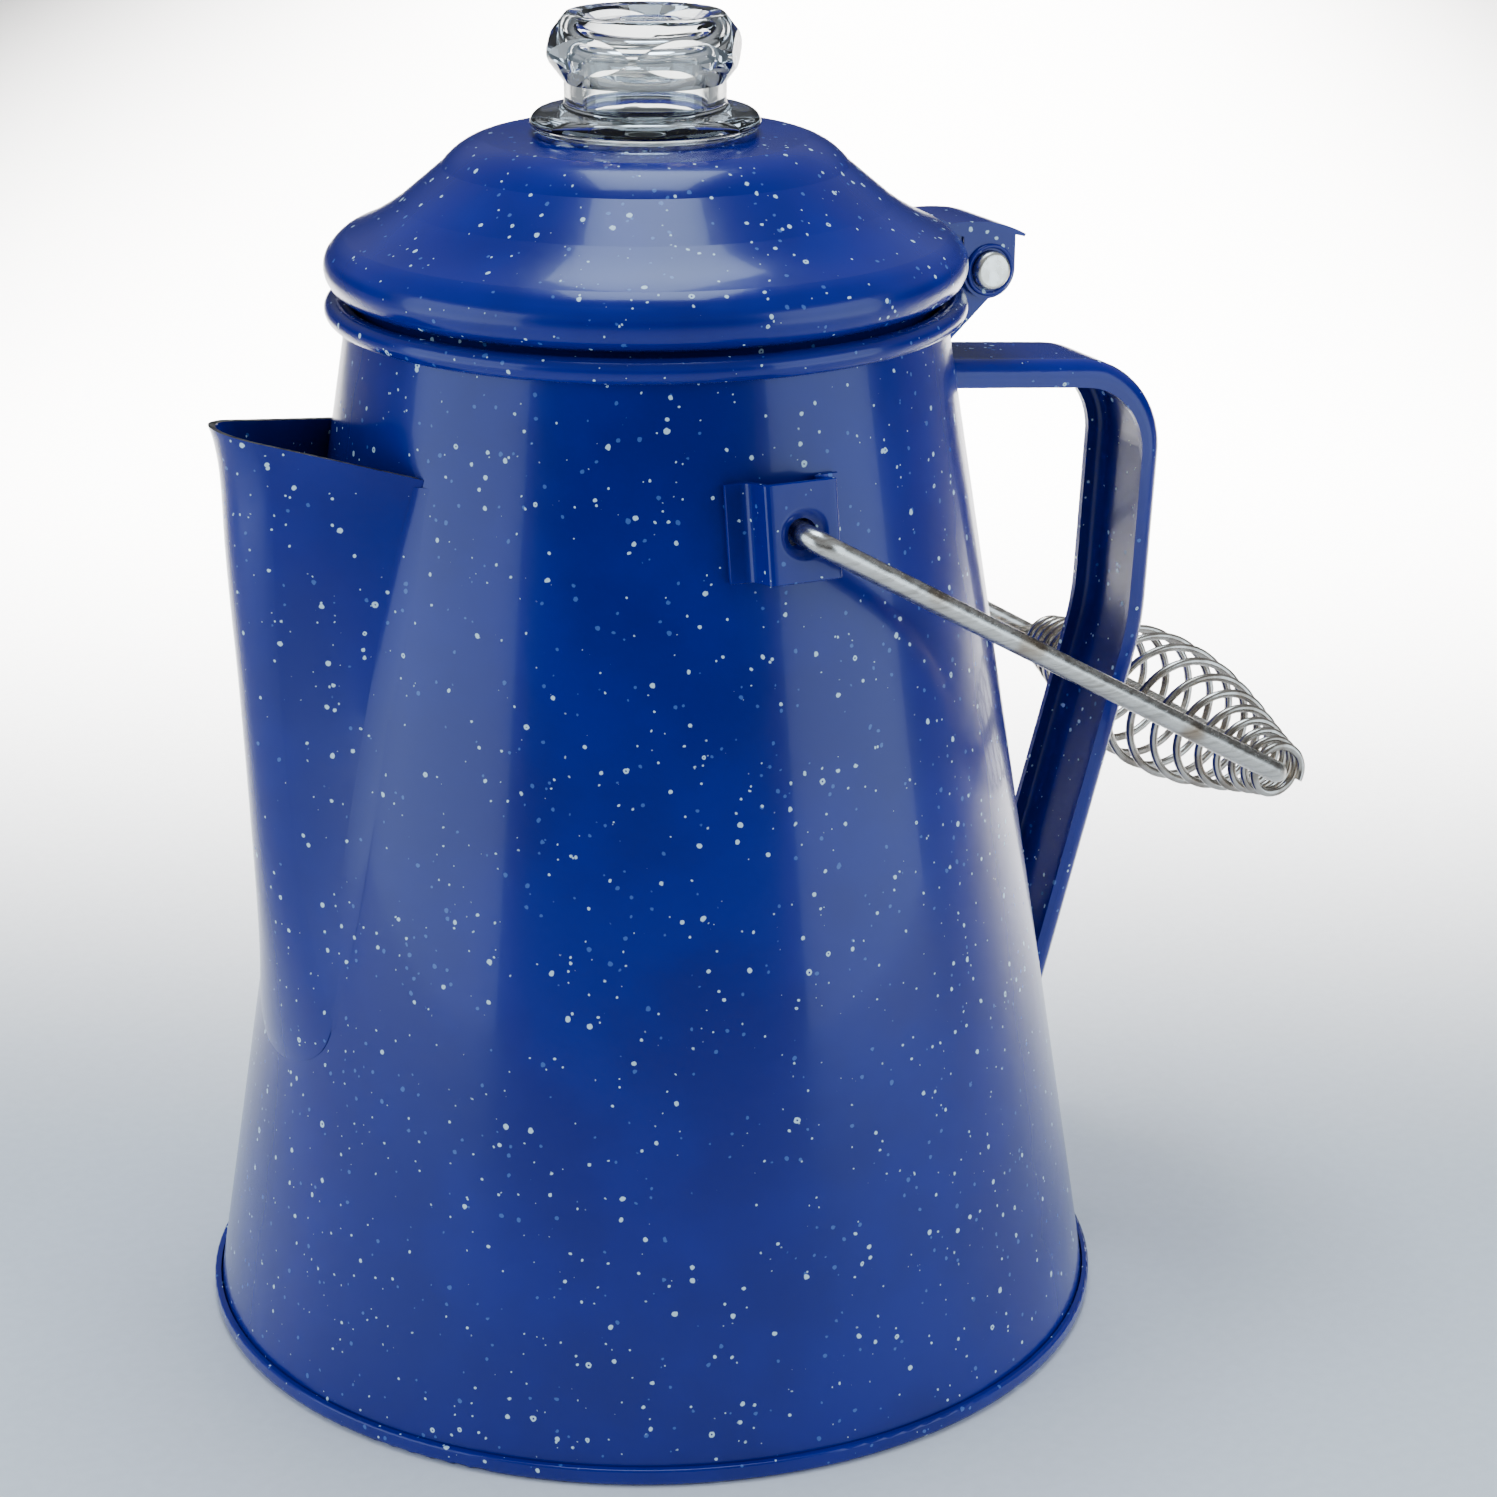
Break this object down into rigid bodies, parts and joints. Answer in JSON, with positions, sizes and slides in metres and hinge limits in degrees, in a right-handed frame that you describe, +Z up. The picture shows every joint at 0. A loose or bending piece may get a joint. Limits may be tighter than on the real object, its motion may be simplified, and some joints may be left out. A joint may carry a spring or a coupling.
{
  "type": "coffee percolator",
  "caption": "Speckled enamel stovetop coffee percolator with hinged lid, glass knob, strap handle, wire bail with coil grip, and a lift-out pump and basket.",
  "frame": {"origin": "centre of the pot's foot on the surface it stands on", "axes": "+Z up along the pot's axis; the spout points to -X, the strap handle and lid hinge are on +X, the bail turns about Y"},
  "size_m": [0.2108, 0.172, 0.244],
  "materials": {
    "speckled_enamel": "glossy vitreous enamel, cobalt blue with white specks",
    "rivet_steel": "bright peened steel",
    "clear_glass": "clear pressed glass, faint green at the edges",
    "stainless_wire": "satin drawn stainless wire",
    "aluminium_insert": "satin spun aluminium"
  },
  "bodies": {
    "pot": {"pot_shell": "speckled_enamel", "pot_base": "speckled_enamel", "spout": "speckled_enamel", "rear_handle": "speckled_enamel", "bail_lug_left": "speckled_enamel", "bail_lug_right": "speckled_enamel", "hinge_bracket": "speckled_enamel", "hinge_pin": "rivet_steel"},
    "lid": {"lid_shell": "speckled_enamel", "lid_skirt": "speckled_enamel", "lid_hinge_leaf": "speckled_enamel"},
    "knob": {"glass_knob": "clear_glass"},
    "bail": {"bail_wire": "stainless_wire"},
    "grip": {"grip_coil": "stainless_wire"},
    "pump": {"pump_tube": "aluminium_insert", "pump_bell": "aluminium_insert", "basket_stop": "aluminium_insert"},
    "basket": {"basket_cup": "aluminium_insert", "basket_sleeve": "aluminium_insert"},
    "spreader": {"basket_lid": "aluminium_insert"}
  },
  "joints": [
    {"name": "lid_hinge", "type": "hinge", "parent": "pot", "child": "lid", "pos_m": [0.0652, 0, 0.1945], "axis": [0, 1, 0], "range_deg": [0, 105]},
    {"name": "knob_twist", "type": "hinge", "parent": "lid", "child": "knob", "pos_m": [0, 0, 0.2232], "axis": [0, 0, 1], "range_deg": [0, 90]},
    {"name": "bail_swing", "type": "hinge", "parent": "pot", "child": "bail", "pos_m": [0, 0, 0.166], "axis": [0, -1, 0], "range_deg": [0, 250]},
    {"name": "grip_spin", "type": "hinge", "parent": "bail", "child": "grip", "pos_m": [0.11098, 0, 0.10111], "axis": [0, 1, 0], "continuous": true},
    {"name": "pump_lift", "type": "slide", "parent": "pot", "child": "pump", "axis": [0, 0, 1], "range_m": [0, 0.006]},
    {"name": "basket_lift", "type": "slide", "parent": "pump", "child": "basket", "axis": [0, 0, 1], "range_m": [0, 0.008]},
    {"name": "spreader_lift", "type": "slide", "parent": "basket", "child": "spreader", "axis": [0, 0, 1], "range_m": [0, 0.005]}
  ]
}
